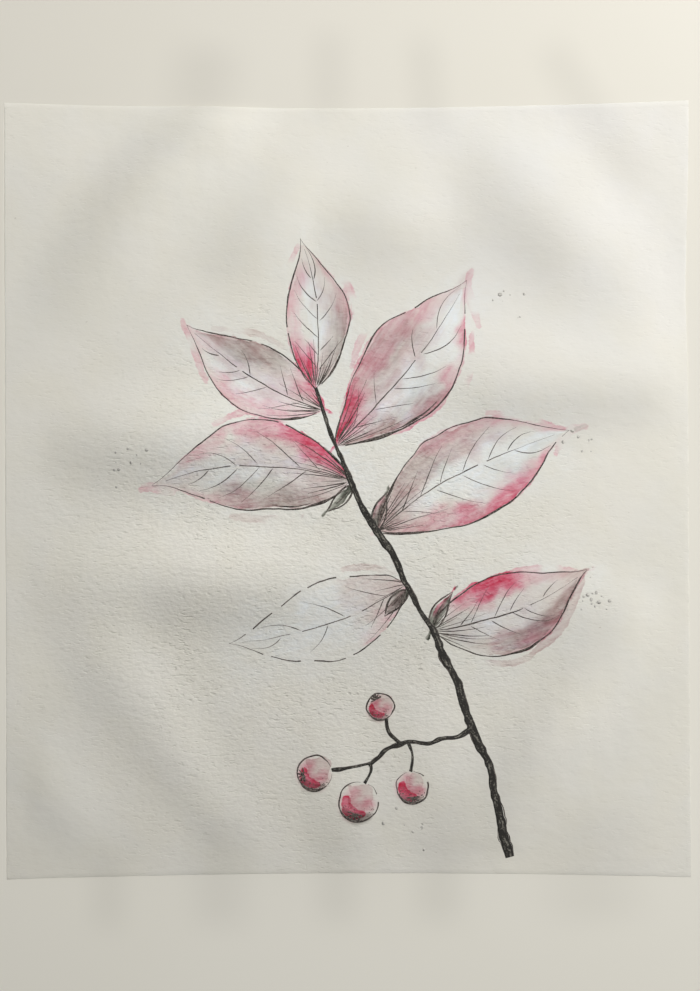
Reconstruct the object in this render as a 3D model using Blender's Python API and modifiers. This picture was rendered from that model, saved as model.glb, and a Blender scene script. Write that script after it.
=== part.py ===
"""A sheet of cold-pressed watercolour paper that dried with cockles in it, lying face up."""

import bpy
import numpy as np

# Sizes are in metres. +X is the sheet's right, +Y its top and +Z up, with the painted face up.
COLLECTION_NAME = "painted_watercolour_sheet"
SHEET_WIDTH = 0.281
SHEET_HEIGHT = 0.319
PAPER_THICKNESS = 0.0005
CELLS_ACROSS = 35
CELLS_UP = 40

# How far the middle of an edge is drawn in from the line between its corners, where the cockles take
# up the sheet's width. The left edge stays straight.
RIGHT_DRAW = 0.0006
TOP_DRAW = 0.0028
BOTTOM_DRAW = 0.0021

# Where the cockle across the upper right corner meets the right edge, it draws that edge in further:
# how far, how high up the sheet from its middle, and over what reach either way.
PINCH_DRAW = 0.0016
PINCH_HEIGHT = 0.089
PINCH_REACH = 0.035

# The left and bottom edges lie on the table, and the sheet comes down to them over this distance.
# At the other two edges it keeps this share of its height.
EDGE_REST = 0.016
FAR_EDGE_SHARE = 0.55

# Cockles: long low ridges that rise and die away between two ends. Each has its start, its end, how
# far its crest bows to the left on the way, its half width and its height.
COCKLES = [
    # across the upper left corner
    ((-0.014, 0.204), (-0.134, 0.058), 0.000, 0.0175, 0.0058),
    ((0.007, 0.138), (-0.064, 0.081), 0.000, 0.0155, 0.0034),
    # across the upper right corner
    ((0.027, 0.172), (0.147, 0.050), 0.000, 0.0225, 0.0038),
    # in from the left edge
    ((-0.136, 0.018), (0.006, 0.024), 0.000, 0.0190, 0.0070),
    ((-0.148, -0.037), (0.022, -0.040), 0.002, 0.0185, 0.0052),
    # in from the right edge
    ((0.008, 0.045), (0.160, 0.048), 0.000, 0.0215, 0.0048),
    ((0.050, -0.042), (0.146, -0.052), 0.000, 0.0160, 0.0013),
    # under the top edge
    ((-0.014, 0.112), (0.050, 0.111), 0.002, 0.0200, 0.0030),
    # across the lower left corner
    ((-0.148, -0.086), (-0.092, -0.162), 0.000, 0.0155, 0.0019),
    ((-0.121, -0.033), (-0.058, -0.128), 0.000, 0.0185, 0.0028),
    ((-0.086, -0.090), (-0.034, -0.158), 0.000, 0.0145, 0.0018),
    # up from the bottom edge
    ((-0.008, -0.076), (-0.006, -0.170), 0.000, 0.0170, 0.0020),
    ((0.034, -0.050), (0.029, -0.176), 0.000, 0.0195, 0.0018),
    # across the lower right corner
    ((0.131, -0.034), (0.041, -0.166), -0.002, 0.0155, 0.0050),
]

# How slowly a cockle rises from its ends.
RISE_POWER = 1.5

# The sheet lies dead flat wherever the cockles come to less than this.
SETTLE_HEIGHT = 0.0004
SETTLE_SOFTNESS = 0.0006

PAPER_COLOUR = (0.66, 0.64, 0.57, 1.0)
PAPER_ROUGHNESS = 0.9


def clear_scene():
    for old in list(bpy.data.objects):
        bpy.data.objects.remove(old, do_unlink=True)


def paper_material():
    material = bpy.data.materials.new("cold_pressed_paper")
    material.use_nodes = True
    shader = material.node_tree.nodes["Principled BSDF"]
    shader.inputs["Base Color"].default_value = PAPER_COLOUR
    shader.inputs["Roughness"].default_value = PAPER_ROUGHNESS
    shader.inputs["Metallic"].default_value = 0.0
    return material


def cockle_height(x, y, start, end, bow, half_width, height):
    """The height that one cockle adds at x, y: a bell across its crest and a slow rise and fall along it."""
    run_x, run_y = end[0] - start[0], end[1] - start[1]
    run = np.hypot(run_x, run_y)
    share = np.clip(((x - start[0]) * run_x + (y - start[1]) * run_y) / run**2, 0.0, 1.0)
    across = ((y - start[1]) * run_x - (x - start[0]) * run_y) / run
    crest = 4.0 * bow * share * (1.0 - share)
    return height * np.sin(np.pi * share) ** RISE_POWER * np.exp(-(((across - crest) / half_width) ** 2))


def edge_share(x, y):
    """How much of the cockles' height the sheet keeps at x, y: all of it away from the edges."""
    share = np.ones_like(x)
    for reach, at_edge in (
        (SHEET_WIDTH / 2 + x, 0.0),
        (SHEET_HEIGHT / 2 + y, 0.0),
        (SHEET_WIDTH / 2 - x, FAR_EDGE_SHARE),
        (SHEET_HEIGHT / 2 - y, FAR_EDGE_SHARE),
    ):
        rise = np.clip(reach / EDGE_REST, 0.0, 1.0)
        share = share * (at_edge + (1.0 - at_edge) * rise * (2.0 - rise))
    return share


def underside_height(x, y):
    """The height of the sheet's underside above the surface that it lies on."""
    raised = np.zeros_like(x)
    for cockle in COCKLES:
        raised = raised + cockle_height(x, y, *cockle)
    free = np.maximum(raised * edge_share(x, y) - SETTLE_HEIGHT, 0.0)
    return free**2 / (free + SETTLE_SOFTNESS)


def draw_in(x, y):
    """The sheet's x and y once its edges have drawn in between the corners."""
    across, up = x / (SHEET_WIDTH / 2), y / (SHEET_HEIGHT / 2)
    pinch = PINCH_DRAW * np.exp(-(((y - PINCH_HEIGHT) / PINCH_REACH) ** 2))
    side_draw = (RIGHT_DRAW + pinch) * (1.0 - up**2)
    end_draw = np.where(up > 0, TOP_DRAW, BOTTOM_DRAW) * (1.0 - across**2)
    return x - side_draw * np.maximum(across, 0.0) ** 2, y - end_draw * up * np.abs(up)


def make_sheet(collection):
    bpy.ops.mesh.primitive_grid_add(
        x_subdivisions=CELLS_ACROSS, y_subdivisions=CELLS_UP, size=1.0, location=(0.0, 0.0, 0.0)
    )
    sheet = bpy.context.object
    sheet.name = "paper_sheet"
    sheet.data.name = "paper_sheet"
    points = np.empty(len(sheet.data.vertices) * 3)
    sheet.data.vertices.foreach_get("co", points)
    points = points.reshape(-1, 3)
    points[:, 0] *= SHEET_WIDTH
    points[:, 1] *= SHEET_HEIGHT
    points[:, 2] = underside_height(points[:, 0], points[:, 1])
    points[:, 0], points[:, 1] = draw_in(points[:, 0], points[:, 1])
    sheet.data.vertices.foreach_set("co", points.ravel())
    sheet.data.update()
    sheet.data.shade_smooth()
    sheet.data.materials.append(paper_material())

    thickness = sheet.modifiers.new("paper_thickness", "SOLIDIFY")
    thickness.thickness = PAPER_THICKNESS
    thickness.offset = 1.0
    for owner in list(sheet.users_collection):
        owner.objects.unlink(sheet)
    collection.objects.link(sheet)


def main():
    clear_scene()
    collection = bpy.data.collections.new(COLLECTION_NAME)
    bpy.context.scene.collection.children.link(collection)
    make_sheet(collection)


main()
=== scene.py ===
"""Looks of the painted watercolour sheet: its paper, the washes soaked into it and the ink drawn on it."""

import math

import bpy
import numpy as np
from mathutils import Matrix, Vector
from mathutils.bvhtree import BVHTree


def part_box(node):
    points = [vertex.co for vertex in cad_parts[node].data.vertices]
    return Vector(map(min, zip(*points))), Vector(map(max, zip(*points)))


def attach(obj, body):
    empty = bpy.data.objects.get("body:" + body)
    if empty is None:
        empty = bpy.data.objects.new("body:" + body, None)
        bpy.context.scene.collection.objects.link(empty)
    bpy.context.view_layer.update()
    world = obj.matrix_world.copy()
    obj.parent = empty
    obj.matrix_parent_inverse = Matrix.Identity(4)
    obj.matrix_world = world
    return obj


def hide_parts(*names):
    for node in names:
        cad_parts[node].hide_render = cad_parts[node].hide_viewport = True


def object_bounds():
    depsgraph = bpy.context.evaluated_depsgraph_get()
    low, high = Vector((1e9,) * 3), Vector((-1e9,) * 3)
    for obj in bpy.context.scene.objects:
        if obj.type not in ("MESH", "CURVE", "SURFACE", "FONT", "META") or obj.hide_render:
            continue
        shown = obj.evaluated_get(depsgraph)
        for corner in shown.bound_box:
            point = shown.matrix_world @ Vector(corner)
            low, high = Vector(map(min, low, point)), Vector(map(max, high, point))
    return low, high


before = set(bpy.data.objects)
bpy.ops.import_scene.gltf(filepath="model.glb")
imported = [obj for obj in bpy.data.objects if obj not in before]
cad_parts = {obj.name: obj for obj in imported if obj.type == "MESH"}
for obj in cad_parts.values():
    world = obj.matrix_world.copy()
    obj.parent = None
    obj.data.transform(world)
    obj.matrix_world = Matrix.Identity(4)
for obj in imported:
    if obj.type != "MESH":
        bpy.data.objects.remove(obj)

CAD_LOW, CAD_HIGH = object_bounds()
SHEET_NODE = "paper_sheet"
BODY = "root"
MM = 0.001

# ---- the sheet's surface

PAPER_THICKNESS = 0.5 * MM
CELL = 1.0 * MM  # of the fine mesh on the painted face
BACK_STEP = 4  # cells of the painted face to one cell of the back
PROBE_SPACING = 8.0 * MM
PROBE_INSET = 0.003  # of the sheet, so that no probe misses its edge
TOOTH_DEPTH = 0.035 * MM
# The tooth's humps: their share, how much flatter than wide they are, their size in mm and their seed.
TOOTH_HUMPS = ((1.0, 1.7, 3.1, 11), (0.6, 1.5, 5.3, 12))
# The soft rounded edge that cutting left, on the left, right, bottom and top: its width and its drop.
RIM_WIDTHS = (0.5 * MM, 0.4 * MM, 0.7 * MM, 0.4 * MM)
RIM_DROPS = (0.02 * MM, 0.04 * MM, 0.12 * MM, 0.14 * MM)
EDGE_ROUGHNESS = 0.05 * MM
EDGE_WAVE = 3.0 * MM
EDGE_SEEDS = (13, 14)
LATTICE = 64  # random values each way, before the noise repeats
SIDEWAYS = 0.9  # of a face's normal, from which the face belongs to a cut edge


def smoothstep(low, high, value):
    share = np.clip((value - low) / (high - low), 0.0, 1.0)
    return share * share * (3.0 - 2.0 * share)


def band(value, low, high, fades):
    """1 from low to high and 0 past them. fades are how far the change at each reaches out and in."""
    out_low, in_low, out_high, in_high = fades
    rise = smoothstep(low - out_low, low + in_low, value)
    return rise * smoothstep(high + out_high, high - in_high, value)


def bilinear(grid, row, column, above, over):
    """The grid's values between rows and columns."""
    lower = grid[row, column] * (1.0 - over) + grid[row, column + 1] * over
    upper = grid[row + 1, column] * (1.0 - over) + grid[row + 1, column + 1] * over
    return lower * (1.0 - above) + upper * above


def noise(x, y, size, seed):
    """Smooth random values from -1 to 1 whose humps are about size across."""
    lattice = np.random.default_rng(seed).uniform(-1.0, 1.0, (LATTICE, LATTICE))
    across, up = np.asarray(x) / size, np.asarray(y) / size
    column, row = np.floor(across).astype(int), np.floor(up).astype(int)
    over, above = smoothstep(0.0, 1.0, across - column), smoothstep(0.0, 1.0, up - row)
    return bilinear(np.pad(lattice, (0, 1), "wrap"), row % LATTICE, column % LATTICE, above, over)


def ripples(x, y, seed, *layers):
    """Noise in layers, each with its share and its size in mm, and with seeds from seed on."""
    return sum(share * noise(x, y, size * MM, seed + step) for step, (share, size) in enumerate(layers))


def catmull_rom(a, b, c, d, t):
    """The smooth way from b to c at t, between a before them and d after them."""
    return 0.5 * (2 * b + (c - a) * t + (2 * a - 5 * b + 4 * c - d) * t**2 + (3 * b - a - 3 * c + d) * t**3)


def resample(rows, places):
    """Rows of values, read smoothly at places between them."""
    last = len(rows) - 1
    start = np.minimum(places.astype(int), last - 1)
    near = [rows[np.clip(start + step, 0, last)] for step in (-1, 0, 1, 2)]
    return catmull_rom(*near, (places - start)[:, None])


def cut_edge(mesh, axis, sign):
    """One of the CAD sheet's four edges: how far out it lies, axis 0 or 1, all along the other axis."""
    places = {}
    for face in mesh.polygons:
        if sign * face.normal[axis] > SIDEWAYS:
            for index in face.vertices:
                spot = mesh.vertices[index].co
                places.setdefault(round(spot[1 - axis], 3), []).append(spot[axis])
    along = sorted(places)
    return np.array(along), np.array([np.mean(places[place]) for place in along])


class Surface:
    """The painted face as a height field: the CAD sheet's upper side, drawn smooth between its points.

    u and v run from 0 to 1 across and up the sheet, between its real edges.
    """

    def __init__(self):
        self.low, self.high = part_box(SHEET_NODE)
        self.width = self.high.x - self.low.x
        self.height = self.high.y - self.low.y
        self.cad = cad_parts[SHEET_NODE].data
        self.left, self.right = cut_edge(self.cad, 0, -1), cut_edge(self.cad, 0, 1)
        self.bottom, self.top = cut_edge(self.cad, 1, -1), cut_edge(self.cad, 1, 1)
        self.columns = BACK_STEP * round(self.width / CELL / BACK_STEP)
        self.rows = BACK_STEP * round(self.height / CELL / BACK_STEP)
        u = self.lines(self.columns, self.width, *RIM_WIDTHS[:2])
        v = self.lines(self.rows, self.height, *RIM_WIDTHS[2:])
        self.grid_x, self.grid_y = self.plan(*np.meshgrid(u, v))
        self.smooth = self.probe(u, v)
        self.z = self.smooth.copy()
        for share, flatness, size, seed in TOOTH_HUMPS:
            humps = noise(self.grid_x, self.grid_y * flatness, size * MM, seed)
            self.z += TOOTH_DEPTH * share * humps
        for axis in (0, 1):
            for line, seed in zip((0, -1), EDGE_SEEDS):
                edge = (slice(None), line) if axis == 0 else (line, slice(None))
                self.z[edge] = self.smooth[edge] - RIM_DROPS[2 * axis - line]
                moved = (self.grid_x, self.grid_y)[axis]
                along = (self.grid_y, self.grid_x)[axis]
                moved[edge] += EDGE_ROUGHNESS * noise(along[edge], 0.0, EDGE_WAVE, seed + 2 * axis)

    def lines(self, count, length, first_rim, last_rim):
        """Where the fine mesh's lines run: evenly, but for the narrow rim at both ends."""
        places = np.linspace(0.0, 1.0, count + 1)
        places[1], places[-2] = first_rim / length, 1.0 - last_rim / length
        return places

    def plan(self, u, v):
        """The x and y of u, v."""
        even_x, even_y = self.low.x + u * self.width, self.low.y + v * self.height
        x = np.interp(even_y, *self.left) * (1.0 - u) + np.interp(even_y, *self.right) * u
        y = np.interp(even_x, *self.bottom) * (1.0 - v) + np.interp(even_x, *self.top) * v
        return x, y

    def probe(self, u, v):
        """The heights of the CAD sheet's upper side on the mesh lines u, v."""
        tree = BVHTree.FromPolygons(
            [point.co for point in self.cad.vertices], [face.vertices for face in self.cad.polygons]
        )
        columns = round(self.width / PROBE_SPACING) + 1
        rows = round(self.height / PROBE_SPACING) + 1
        inside = (PROBE_INSET, 1.0 - PROBE_INSET)
        x, y = self.plan(*np.meshgrid(np.linspace(*inside, columns), np.linspace(*inside, rows)))
        samples = np.zeros((rows, columns))
        for place in np.ndindex(rows, columns):
            hit = tree.ray_cast(Vector((x[place], y[place], 1.0)), Vector((0.0, 0.0, -1.0)))
            samples[place] = hit[0].z
        return resample(resample(samples, v * (rows - 1)).T, u * (columns - 1)).T

    def at(self, x, y):
        """The painted face's height at any points of the sheet that aren't on its rim."""
        left, right = np.interp(y, *self.left), np.interp(y, *self.right)
        bottom, top = np.interp(x, *self.bottom), np.interp(x, *self.top)
        across = np.clip((x - left) / (right - left), 0.0, 1.0) * self.columns
        up = np.clip((y - bottom) / (top - bottom), 0.0, 1.0) * self.rows
        column = np.minimum(across.astype(int), self.columns - 1)
        row = np.minimum(up.astype(int), self.rows - 1)
        return bilinear(self.z, row, column, up - row, across - column)


surface = Surface()


# ---- the drawing's shapes

def polyline(points, step=0.5 * MM):
    """A smooth curve through given points, as an array of points about a step apart."""
    points = np.array(points, float)
    if len(points) == 2:
        points = np.array([points[0], points.mean(axis=0), points[1]])
    padded = np.vstack([2 * points[0] - points[1], points, 2 * points[-1] - points[-2]])
    pieces = []
    for a, b, c, d in zip(padded, padded[1:], padded[2:], padded[3:]):
        count = max(2, int(np.hypot(*(c - b)) / step) + 1)
        t = np.linspace(0.0, 1.0, count, endpoint=False)[:, None]
        pieces.append(catmull_rom(a, b, c, d, t))
    pieces.append(points[-1:])
    return np.vstack(pieces)


def left_of(path):
    """The unit vectors that point left of a path, at each of its points."""
    heading = np.gradient(path, axis=0)
    heading = heading / np.maximum(np.hypot(heading[:, 0], heading[:, 1]), 1e-12)[:, None]
    return np.stack([-heading[:, 1], heading[:, 0]], axis=1)


def distance_along(path):
    return np.concatenate([[0.0], np.cumsum(np.hypot(*np.diff(path, axis=0).T))])


def add_object(name, data):
    made = bpy.data.objects.new(name, data)
    bpy.context.scene.collection.objects.link(made)
    return made


MARGIN_WAVERS = ((0.085, 16.0 * MM), (0.030, 5.5 * MM))  # share of the half width, and length
STALK_POINT, TIP_POINT = 0.75, 1.30  # how sharply a leaf's outline comes to a point at its two ends
LEAF_END = 1.2 * MM  # how far a wash runs on past a leaf's two ends


class Leaf:
    """A drawn leaf: its stalk end, its tip, its greatest half width and how far its midrib bows left.

    A place on it is (t, u): t runs from 0 at the stalk end to 1 at the tip, and u from -1 on the right
    margin to 1 on the left one.
    """

    def __init__(self, base, tip, half_width, bow=0.0, broadest=0.44, seed=1):
        self.base, self.tip = np.array(base) * MM, np.array(tip) * MM
        self.half_width = half_width * MM
        self.bow = bow * MM
        self.lean = math.log(0.5) / math.log(broadest)
        self.seed = seed
        run = self.tip - self.base
        self.length = float(np.hypot(*run))
        self.forward = run / self.length
        self.leftward = np.array((-self.forward[1], self.forward[0]))

    def margin(self, t, side):
        """The half width at t, on side 1, left of the midrib, or on side -1."""
        t = np.clip(t, 0.0, 1.0)
        sharpness = STALK_POINT + (TIP_POINT - STALK_POINT) * t
        plain = self.half_width * np.sin(np.pi * t**self.lean) ** sharpness
        waver = 1.0
        for index, (share, length) in enumerate(MARGIN_WAVERS):
            waver = waver + share * noise(t * self.length, 0.1 * side, length, self.seed + 50 * index)
        return plain * waver

    def midrib(self, t):
        """How far left of the straight line the midrib bows at t."""
        return self.bow * 4.0 * t * (1.0 - t)

    def spot(self, t, u):
        """The sheet's x and y at t, u."""
        t, u = np.broadcast_arrays(np.asarray(t, float), np.asarray(u, float))
        aside = u * self.margin(t, np.sign(u)) + self.midrib(t)
        return self.base + np.outer(t * self.length, self.forward) + np.outer(aside, self.leftward)

    def place(self, x, y):
        """For points of the sheet: how far along and how far left of the midrib they lie, and t and u."""
        away_x, away_y = x - self.base[0], y - self.base[1]
        along = away_x * self.forward[0] + away_y * self.forward[1]
        t = along / self.length
        bend = self.midrib(np.clip(t, 0.0, 1.0))
        across = away_x * self.leftward[0] + away_y * self.leftward[1] - bend
        half = self.margin(t, np.where(across > 0.0, 1.0, -1.0))
        return along, across, t, across / np.maximum(half, MM), half - np.abs(across)

    def inside(self, along, spare):
        """How far inside the outline a point lies, where spare is what is left between it and the margin."""
        return np.minimum(spare, LEAF_END + 0.5 * np.minimum(along, self.length - along))


# The stem runs up from the sheet's lower right, and the leaves stand off it by turns.
STEM = [(66, -151), (63, -139), (60, -127), (57, -112), (50, -97), (44, -79), (35, -60), (25, -41), (20, -30),
        (12, -17), (5, -6), (1, 4), (-5, 18), (-8, 26), (-10, 33), (-13, 42)]
LEAVES = {
    "right_low": Leaf((35, -58), (98, -33), 16.5, bow=-5, seed=21),
    "left_low": Leaf((24, -39), (-49, -63), 16.0, bow=5, seed=22),
    "right_high": Leaf((12, -17), (91, 24), 20.0, bow=5, broadest=0.5, seed=23),
    "left_mid": Leaf((1, 4), (-80, 2), 18.5, bow=-7, seed=24),
    "right_top": Leaf((-5, 18), (49, 86), 19.0, bow=-4, broadest=0.52, seed=25),
    "left_top": Leaf((-10, 33), (-66, 68), 13.5, bow=4, seed=26),
    "end": Leaf((-13, 42), (-19, 103), 12.5, bow=-4, broadest=0.46, seed=27),
}
# Small dark buds that sit where a leaf leaves the stem.
BUDS = {
    "bud_low": Leaf((34, -58), (43, -42), 3.1, bow=1.0, seed=31),
    "bud_middle": Leaf((25, -41), (15, -52), 2.6, bow=-0.8, seed=32),
    "bud_high": Leaf((12, -17), (16, -1), 2.8, bow=0.8, seed=33),
    "bud_left": Leaf((2, 2), (-9, -9), 2.6, bow=0.7, seed=34),
}
TWIG = [(51, -98), (45, -101), (38, -102), (33, -104), (25, -103), (20, -105), (15, -107), (12, -110),
        (8, -113)]
# Each berry's centre and radius, and where its stalk leaves the twig.
BERRIES = [
    ((4, -128), 8.2, (9, -112)),
    ((-14, -116), 7.2, (9, -112)),
    ((26, -122), 6.6, (24, -103)),
    ((13, -89), 5.6, (21, -104)),
]


# ---- washes

# What each pigment lets through at full strength, as a linear colour. The rinse is clear water, which
# lifted the sheet's warm tone where the brush had wetted it.
PIGMENTS = {
    "mauve": (0.855, 0.765, 0.775),
    "pink": (0.945, 0.70, 0.765),
    "crimson": (0.89, 0.30, 0.42),
    "lampblack": (0.40, 0.41, 0.385),
    "rinse": (1.02, 1.05, 1.10),
}
NO_WASH = -8.0 * MM  # the distance inside a wash where there is none
OVERLAP = 1.2 * MM  # over which one hard-edged wash gives way to the next
T_FADES = (0.10, 0.10, 0.16, 0.10)  # over which an area of a leaf's flood melts into the next
U_FADES = (0.22, 0.16, 0.22, 0.16)
# Unevenness in layers, each with its share and its size in mm. The first two are of an area's ends.
T_WAVER = ((0.07, 9.0),)
U_WAVER = ((0.26, 8.0), (0.12, 3.0))
FLOOD_MOTTLE = ((0.22, 6.0), (0.12, 2.7))
FLOOD_SPILL = ((1.0, 12.0), (0.5, 3.6))  # mm that the hard edge wanders
FAN_SPREAD = 0.5  # by which the brush's streaks close up towards a leaf's stalk end
STROKE_THIN = 0.55  # of its half width, at a brush stroke's ends
STROKE_START = 0.06  # of its swelling, which a stroke leaves out at both ends
STROKE_SWELL = ((0.20, 8.0), (0.12, 2.6))
STROKE_MOTTLE = ((0.30, 7.0), (0.16, 2.9))
WET_BLUR = (-0.55, 0.75)  # of its half width, over which a wet stroke fades
BREAK_SIZE = 7.5 * MM
BREAK_RANGE = (-0.45, 0.35)  # of the noise, over which a broken stroke sets in


class Washes:
    """Pigment laid on the sheet, as fields over the fine mesh's points.

    For each pigment there is what was laid on wet and blurred away, and the shape and strength of what
    dried with a hard edge. A shape is the distance inside its edge. brush holds the two distances, along
    and across, that the brush streaks follow.
    """

    def __init__(self):
        shape = surface.grid_x.shape
        self.wet = {name: np.zeros(shape) for name in PIGMENTS}
        self.inside = {name: np.full(shape, NO_WASH) for name in PIGMENTS}
        self.strength = {name: np.zeros(shape) for name in PIGMENTS}
        self.brush = np.stack([surface.grid_x, surface.grid_y], axis=2)
        self.leaf_spare = np.full(shape, NO_WASH)

    def patch(self, points, reach):
        """The part of the fields within reach of some points: its slices, and its x and y."""
        low, high = points.min(axis=0) - reach, points.max(axis=0) + reach
        start, stop = (low - surface.low.xy) / CELL, (high - surface.low.xy) / CELL + 2.0
        first, last = np.maximum(start.astype(int), 0), stop.astype(int)
        patch = slice(first[1], last[1]), slice(first[0], last[0])
        return patch, surface.grid_x[patch], surface.grid_y[patch]

    def lay(self, patch, pigment, inside, strength):
        """Lay a hard-edged wash over what is there."""
        known, held = self.inside[pigment][patch], self.strength[pigment][patch]
        blend = smoothstep(-OVERLAP, OVERLAP, inside - known)
        self.strength[pigment][patch] = held * (1.0 - blend) + strength * blend
        self.inside[pigment][patch] = np.maximum(known, inside)

    def flood(self, leaf, pigment, reach, areas, seed):
        """A pigment inside a leaf, in areas that melt into each other, up to a hard edge near its outline.

        Each area is its range of t, its range of u and its strength. reach, in mm, is how far the hard
        edge runs past the outline.
        """
        t = np.linspace(0.0, 1.0, 12)
        patch, x, y = self.patch(np.vstack([leaf.spot(t, 1.0), leaf.spot(t, -1.0)]), -NO_WASH)
        along, across, t, u, spare = leaf.place(x, y)
        nearer = spare > self.leaf_spare[patch]
        self.leaf_spare[patch] = np.where(nearer, spare, self.leaf_spare[patch])
        spread = 1.0 + FAN_SPREAD * (1.0 - np.clip(t, 0.0, 1.0)) ** 3
        fan = np.stack([along, across * spread], axis=2)
        self.brush[patch] = np.where(nearer[:, :, None], fan, self.brush[patch])
        t = t + ripples(x, y, seed, *T_WAVER)
        u = u + ripples(x, y, seed + 1, *U_WAVER)
        laid = np.zeros(x.shape)
        for t_from, t_to, u_from, u_to, strength in areas:
            laid = laid + strength * band(t, t_from, t_to, T_FADES) * band(u, u_from, u_to, U_FADES)
        mottle = 1.0 + ripples(x, y, seed + 3, *FLOOD_MOTTLE)
        spill = (reach + ripples(x, y, seed + 5, *FLOOD_SPILL)) * MM
        self.lay(patch, pigment, leaf.inside(along, spare) + spill, laid * mottle)

    def stroke(self, pigment, path, radius, strength, edge="wet", seed=0):
        """One pass of a loaded brush along path, whose edge stayed wet or dried hard, or broke up."""
        path = polyline(path, 2.0 * MM)
        patch, x, y = self.patch(path, 2.2 * radius + 4.0 * MM)  # well past the stroke's edge
        nearest = np.full(x.shape, np.inf)
        share = np.zeros(x.shape)
        for index, (start, end) in enumerate(zip(path, path[1:])):
            run = end - start
            length = max(float(np.hypot(*run)), 1e-9)
            along = np.clip(((x - start[0]) * run[0] + (y - start[1]) * run[1]) / length**2, 0.0, 1.0)
            distance = np.hypot(x - start[0] - along * run[0], y - start[1] - along * run[1])
            closer = distance < nearest
            nearest = np.where(closer, distance, nearest)
            share = np.where(closer, (index + along) / (len(path) - 1), share)
        belly = np.sin(np.pi * (STROKE_START + (1.0 - 2.0 * STROKE_START) * share))
        swell = STROKE_THIN + (1.0 - STROKE_THIN) * belly + ripples(x, y, seed, *STROKE_SWELL)
        inside = radius * swell - nearest
        mottle = 1.0 + ripples(x, y, seed + 2, *STROKE_MOTTLE)
        if edge == "wet":
            low, high = WET_BLUR
            self.wet[pigment][patch] += strength * mottle * smoothstep(low * radius, high * radius, inside)
            return
        if edge == "broken":
            mottle = mottle * smoothstep(*BREAK_RANGE, noise(x, y, BREAK_SIZE, seed + 4))
        self.lay(patch, pigment, inside, strength * mottle)


washes = Washes()

WHOLE = (-2, 2)
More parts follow.
